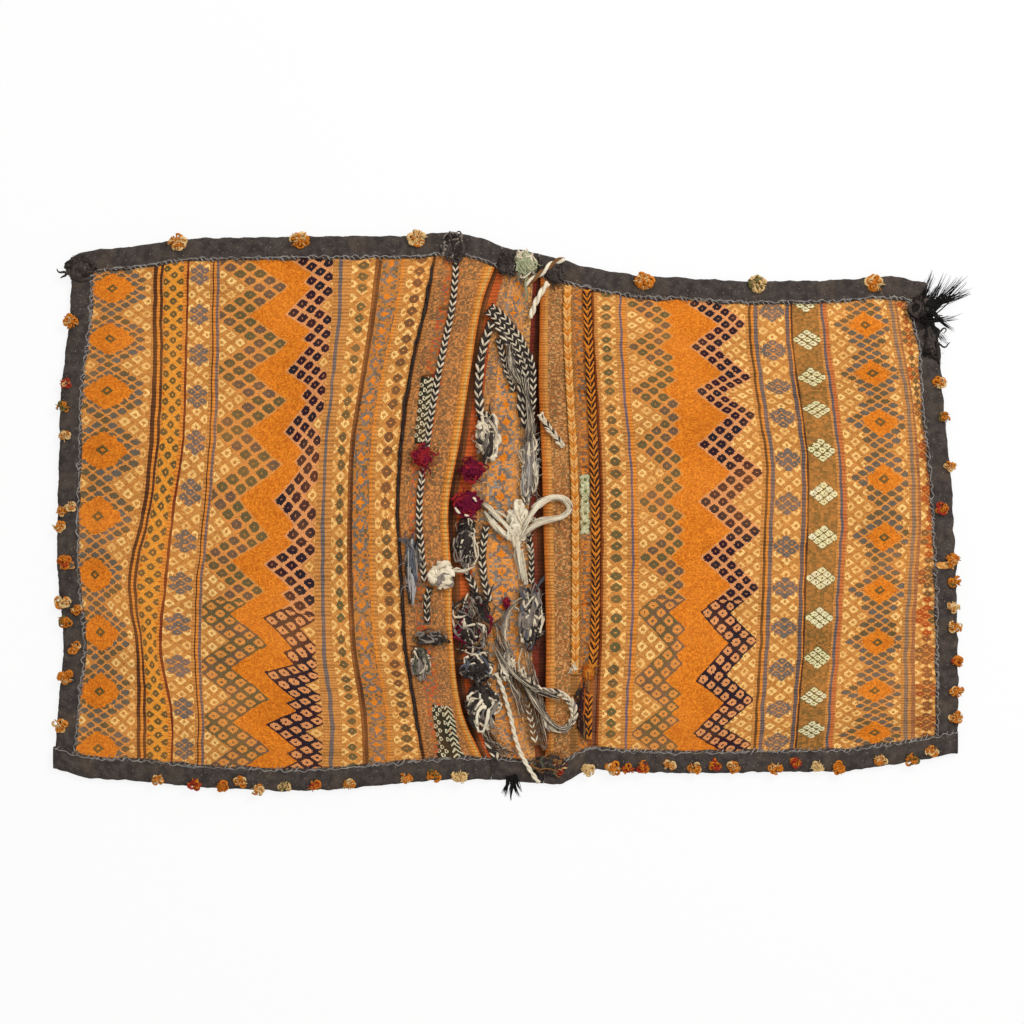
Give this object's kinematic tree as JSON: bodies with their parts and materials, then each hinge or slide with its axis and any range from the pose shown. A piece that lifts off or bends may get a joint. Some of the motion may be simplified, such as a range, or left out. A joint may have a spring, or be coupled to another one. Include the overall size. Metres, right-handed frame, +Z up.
{
  "type": "knotted double saddle bag",
  "caption": "Flat-woven double saddle bag lying open and flat: two pouches joined by a bridge of cloth, with felt bindings, closure braids, knots and tufts.",
  "frame": {"origin": "on the underside of the back cloth, below the middle of the bridge between the two pouches", "axes": "+X along the bag from the left pouch to the right one, +Y to its upper edge in the picture, +Z up from the surface it lies on"},
  "size_m": [1.013, 0.6284, 0.0267],
  "materials": {
    "patterned_weave": "weft-wrapped wool weave in orange, olive and dark purple",
    "border_weave": "ribbed wool weave",
    "back_weave": "plain striped wool weave",
    "felt": "dusty felted wool",
    "chevron_wool": "plaited wool in black and white chevrons",
    "peach_wool": "plaited wool",
    "two_tone_wool": "plaited wool in black and orange",
    "cream_wool": "loose spun wool",
    "brown_wool": "plaited wool",
    "red_rag": "torn woven rag",
    "maroon_rag": "torn woven rag",
    "grey_rag": "torn woven rag",
    "green_wool": "loose spun wool",
    "yarn_tuft": "cut yarn",
    "black_hair": "coarse hair"
  },
  "bodies": {
    "root": {"back_cloth": "back_weave", "left_pouch_front": "patterned_weave", "right_pouch_front": "patterned_weave", "left_closure_border": "border_weave", "right_closure_border": "border_weave", "left_end_binding": "felt", "right_end_binding": "felt", "left_top_binding": "felt", "right_top_binding": "felt", "left_bottom_binding": "felt", "right_bottom_binding": "felt", "bridge_top_binding": "felt", "bridge_bottom_binding": "felt", "left_chevron_braid": "chevron_wool", "right_peach_braid": "peach_wool", "right_two_tone_braid": "two_tone_wool", "right_two_tone_stub": "two_tone_wool", "upper_chevron_braid": "chevron_wool", "upper_inner_strand": "chevron_wool", "channel_braid": "chevron_wool", "upper_braid_tail": "chevron_wool", "lower_left_braid": "chevron_wool", "lower_right_braid": "chevron_wool", "wool_bow_loop": "cream_wool", "wool_bow_tail": "cream_wool", "bow_plait": "cream_wool", "wool_side_loop": "cream_wool", "lower_loop": "chevron_wool", "cream_cord": "cream_wool", "brown_braid": "brown_wool", "top_twisted_loop": "cream_wool", "top_strand": "cream_wool", "braid_knot": "chevron_wool", "white_rag_knot": "cream_wool", "red_rag_knot": "red_rag", "upper_maroon_knot": "maroon_rag", "lower_maroon_knot": "maroon_rag", "upper_rag_bundle": "grey_rag", "lower_rag_bundle": "grey_rag", "wool_bow_knot": "cream_wool", "grey_wool_bundle": "grey_rag", "green_wool_lump": "green_wool", "dark_rag_strip": "grey_rag", "corner_hair_tassel": "black_hair", "bottom_hair_tuft": "black_hair", "top_first_tuft": "yarn_tuft", "top_second_tuft": "yarn_tuft", "top_third_tuft": "yarn_tuft", "top_fourth_tuft": "yarn_tuft", "top_fifth_tuft": "yarn_tuft", "top_sixth_tuft": "yarn_tuft", "left_upper_tuft": "yarn_tuft", "left_middle_tuft": "yarn_tuft", "bottom_first_tuft": "yarn_tuft", "bottom_second_tuft": "yarn_tuft", "bottom_third_tuft": "yarn_tuft", "bottom_fourth_tuft": "yarn_tuft", "bottom_fifth_tuft": "yarn_tuft", "right_upper_tuft": "yarn_tuft", "right_middle_tuft": "yarn_tuft"}
  },
  "joints": []
}
